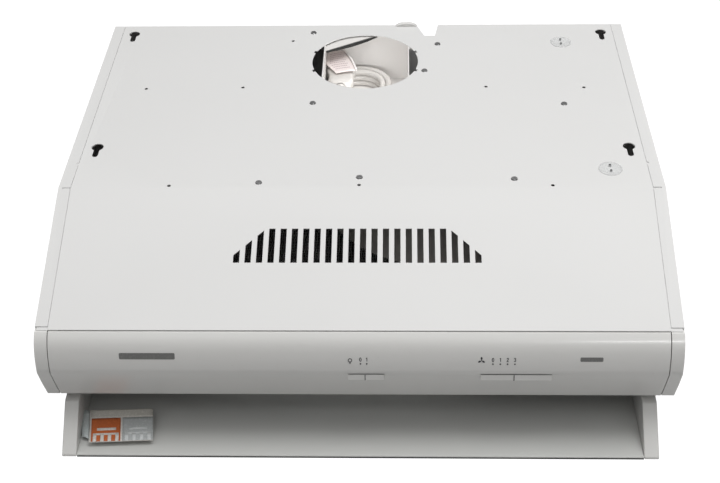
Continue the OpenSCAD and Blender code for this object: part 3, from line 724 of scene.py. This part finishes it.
def lamp_icon(x, z, size):
    """A bulb outline over two short bars."""
    shapes = ribbon(circle(x, z, size * 0.62, 24), size * 0.26, True)
    half = size * 0.34
    for k in (0, 1):
        upper, lower = z - size * (0.82 + 0.3 * k), z - size * (0.98 + 0.3 * k)
        shapes.append([(x - half, upper), (x + half, upper), (x + half, lower), (x - half, lower)])
    print_shape("print_lamp_icon", shapes)


# The switch positions that the digits mark: switch, digit and side.
MARKS = (("light", "0", 3.0), ("light", "1", 8.8),
         ("fan", "0", 125.0), ("fan", "1", 131.8), ("fan", "2", 138.5), ("fan", "3", 145.2))
DIGIT_Z, DIGIT_H, STROKE = 104.1, 3.5, 0.62
DOT_Z, DOT_R = 101.5, 0.8

lamp_icon(-6.7, 105.0, 2.6)
fan_icon(114.5, 105.1, 3.6)
for switch, mark, x in MARKS:
    print_name = f"print_{switch}_{mark}"
    digit(print_name, mark, x, DIGIT_Z, DIGIT_H, STROKE)
    print_shape(print_name + "_dot", [circle(x, DOT_Z, DOT_R, 14)])


def rounded_bar(x0, x1, z0, z1, r):
    """A bar with quarter-circle corners of seven points each."""
    corners = ((x1 - r, z1 - r, 0), (x0 + r, z1 - r, 90), (x0 + r, z0 + r, 180), (x1 - r, z0 + r, 270))
    return [on_circle(x, z, r, start + 15 * k) for x, z, start in corners for k in range(7)]


print_shape("print_blank_mark_left", [rounded_bar(-221, -169, 105.4, 111.4, 1.2)], INK_GREY_AND_SHADE)
print_shape("print_blank_mark_right", [rounded_bar(205, 226, 104.2, 108.4, 1.0)], INK_GREY_AND_SHADE)


def slider_shade_quad(name, sides, below, proud, body, material=None):
    """A small dark quad of painted shade on the flat face under the crease.

    It runs between two sides and two distances below the crease, and stands as proud as given at
    its upper and its lower edge.
    """
    lean = math.atan2(CREASE[0] - FASCIA_BEND[0], CREASE[1] - FASCIA_BEND[1])
    sin, cos = math.sin(lean), math.cos(lean)
    points = []
    for i, k in ((0, 0), (1, 0), (1, 1), (0, 1)):
        depth = CREASE[0] - below[k] * sin + proud[k] * cos
        z = CREASE[1] - below[k] * cos - proud[k] * sin
        points.append(place(sides[i], depth, z))
    mesh_object(name, points, [(0, 1, 2, 3)], body, "dark_plastic", material)


# Painted shade: a dark quad in the gap over each slider, and a dark line that paints the shadow beside its
# pointer rib.
POINTER_SHADOW_W = 1.0
for body, node, pointer in (("light_slider", "light_knob", -0.4), ("fan_slider", "fan_knob", -1.4)):
    low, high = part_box(node)
    left, right = low.x / MM, high.x / MM
    mark = (left + right) / 2 + pointer
    # A dark quad in the slider's gap: painted shade.
    slider_shade_quad(node + "_gap_shade", (left, right), (-0.35, 0.45), (0.15, 0.15), body)
    # A grey line beside the pointer rib: a painted shadow.
    slider_shade_quad(node + "_mark", (mark - POINTER_SHADOW_W, mark), (0.5, 6.0), (0.6, 3.45), body, INK_GREY_AND_SHADE)

# ---------------------------------------------------------------- sticker on the visor


def make_sticker():
    """A film with plain colour blocks that stands a little off the tray, and its pale edge strip."""
    # Corners of the film and of the strip: side, depth and height.
    rear_left, rear_right = (-265.5, 475.7, 16), (-203.6, 472.9, 16)
    front_left, front_right = (-260.3, 513.9, 11), (-198.5, 510.6, 11)
    strip_rear = ((-273.9, 475.2, 14), (-265.8, 475.3, 15))
    strip_front = ((-269.2, 504.0, 8), (-261.9, 507.3, 9))
    film_t, block_up, bar_up = 0.00012, 0.0002, 0.0004

    def spot(u, v, up):
        x, depth, z = between(between(front_left, front_right, u), between(rear_left, rear_right, u), v)
        sag = 1.6 * math.sin(math.pi * v) * (1 - 0.4 * u)
        return place(x, depth, z - sag) + Vector((0, 0, up))

    def strip(u, v, up):
        point = between(between(*strip_front, u), between(*strip_rear, u), v)
        return place(*point) + Vector((0, 0, up + 0.0012 * math.sin(math.pi * u)))

    def patch(name, u, v, up, material, cells):
        def inside(a, b, layer):
            return spot(u[0] + (u[1] - u[0]) * a, v[0] + (v[1] - v[0]) * b, up + layer)
        return sheet(name, inside, (cells, cells), film_t, "visor", "sticker", material)

    film = patch("sticker_film", (0, 1), (0, 1), 0.0, PALE, 20)
    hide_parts("visor_sticker")
    patch("sticker_band", (0.02, 1), (0.79, 1), block_up, SILVER_BAND, 10)
    patch("sticker_block", (0.03, 0.49), (0.02, 0.76), block_up, ORANGE, 10)
    patch("sticker_grey", (0.52, 1), (0.02, 0.76), block_up, GREY_BLUE, 10)
    # Each half carries a comb of four bars and a stripe over it.
    bars, bar_w, bar_step = 4, 0.055, 0.117
    for half, left, ink in (("orange", 0.06, PALE), ("grey", 0.56, BRIGHT)):
        for k in range(bars):
            u = left + bar_step * k
            patch(f"sticker_bar_{half}_{k}", (u, u + bar_w), (0.01, 0.26), bar_up, ink, 3)
        comb = (left, left + bar_step * (bars - 1) + bar_w)
        patch(f"sticker_comb_{half}", comb, (0.23, 0.29), bar_up, ink, 6)
        patch(f"sticker_stripe_{half}", (left + 0.06, left + 0.36), (0.38, 0.46), bar_up, ink, 3)
    sheet("sticker_edge_strip", strip, (8, 10), film_t, "visor", "sticker", STRIP_BLUE)


make_sticker()

# ---------------------------------------------------------------- small pieces on the top


def make_discs():
    """Clear domed discs, each over two dark cylinders that paint the shade in its two holes."""
    low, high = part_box("clear_discs")
    r, height = 0.012, high.z - low.z
    foot, rim, arc_steps = 0.00005, 0.0004, 10
    profile = [(0.0, foot), (r, foot), (r, rim)]
    for step in range(1, arc_steps + 1):
        a = step * math.pi / 2 / arc_steps
        profile.append((r * math.cos(a), rim + (height - rim) * math.sin(a)))
    # Each hole is a solid dark cylinder under the dome: painted shade, where the hole is dark inside.
    hole_r, hole_top, hole_apart = 0.0013, height - 0.0001, 0.009
    hole_shade = [(0.0, 0.0), (hole_r, 0.0), (hole_r, hole_top), (0.0, hole_top)]
    for k, (x, y) in enumerate(((high.x - r, low.y + r), (low.x + r, high.y - r))):
        middle = Matrix.Translation((x, y, low.z))
        lathe(f"clear_dome_{k}", profile, "shell", "clear_plastic", 48, middle)
        for j, side in enumerate((-1, 1)):
            matrix = Matrix.Translation((x, y + side * hole_apart / 2, low.z))
            lathe(f"dome_hole_shade_{k}_{j}", hole_shade, "shell", "dark_plastic", 16, matrix)
    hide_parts("clear_discs")


make_discs()

# ---------------------------------------------------------------- floor and light


def make_floor():
    """A pale floor just under the hood, which the camera sees as plain white."""
    mesh = bpy.data.meshes.new("floor")
    half, drop = 6.0, 0.0005
    corners = [(-half, -half), (half, -half), (half, half), (-half, half)]
    mesh.from_pydata([(x, y, -drop) for x, y in corners], [], [(0, 1, 2, 3)])
    floor = bpy.data.objects.new("floor", mesh)
    bpy.context.scene.collection.objects.link(floor)
    n = Nodes("floor_paper")
    n.link(n.ramp(n.noise(2.0, 3), (0.3, 0.50), (0.7, 0.53)), "Base Color")
    n.set(Roughness=0.9)
    lit = n.add("ShaderNodeEmission", {"Color": (1, 1, 1, 1), "Strength": 1.1})
    seen = n.add("ShaderNodeLightPath").outputs["Is Camera Ray"]
    mixed = n.add("ShaderNodeMixShader", {0: seen, 1: n.shader.outputs[0], 2: lit.outputs[0]})
    n.tree.links.new(mixed.outputs[0], n.tree.nodes["Material Output"].inputs["Surface"])
    mesh.materials.append(n.material)


def make_light(name, location, target, size, power, diffuse=True, glossy=True):
    """An area light that points at a target and lights the diffuse or the glossy part, or both."""
    data = bpy.data.lights.new(name, "AREA")
    data.shape = "RECTANGLE"
    data.size, data.size_y = size
    data.energy = power
    light = bpy.data.objects.new(name, data)
    light.visible_diffuse = diffuse
    light.visible_glossy = glossy
    light.visible_camera = False
    light.location = location
    light.rotation_euler = (Vector(target) - Vector(location)).to_track_quat("-Z", "Y").to_euler()
    bpy.context.scene.collection.objects.link(light)


def make_world():
    """A sky that is bright overhead and dim near the horizon."""
    world = bpy.data.worlds.new("world")
    world.use_nodes = True
    tree = world.node_tree
    split = tree.nodes.new("ShaderNodeSeparateXYZ")
    tree.links.new(tree.nodes.new("ShaderNodeTexCoord").outputs["Generated"], split.inputs[0])
    ramp = tree.nodes.new("ShaderNodeValToRGB")
    tree.links.new(split.outputs["Z"], ramp.inputs["Fac"])
    stops = ((0.0, 0.02), (0.45, 0.13), (1.0, 1.0))
    ramp.color_ramp.elements.new(0.5)
    for element, (at, grey) in zip(ramp.color_ramp.elements, stops):
        element.position = at
        element.color = (grey, grey, grey, 1)
    background = tree.nodes["Background"]
    tree.links.new(ramp.outputs["Color"], background.inputs["Color"])
    background.inputs["Strength"].default_value = 1.3
    bpy.context.scene.world = world


make_floor()
make_world()
make_light("key", (0.42, -0.08, 2.1), (0.0, 0.0, 0.1), (0.9, 1.1), 20, glossy=False)
make_light("window", (1.05, -2.3, 1.92), (0.26, -0.22, 0.12), (0.9, 0.13), 7, diffuse=False)
make_light("duct_fill", place(26, 137, 172), place(10, 20, 150), (0.06, 0.02), 0.075)
bpy.context.scene.view_settings.view_transform = "Standard"
bpy.context.scene.view_settings.look = "None"
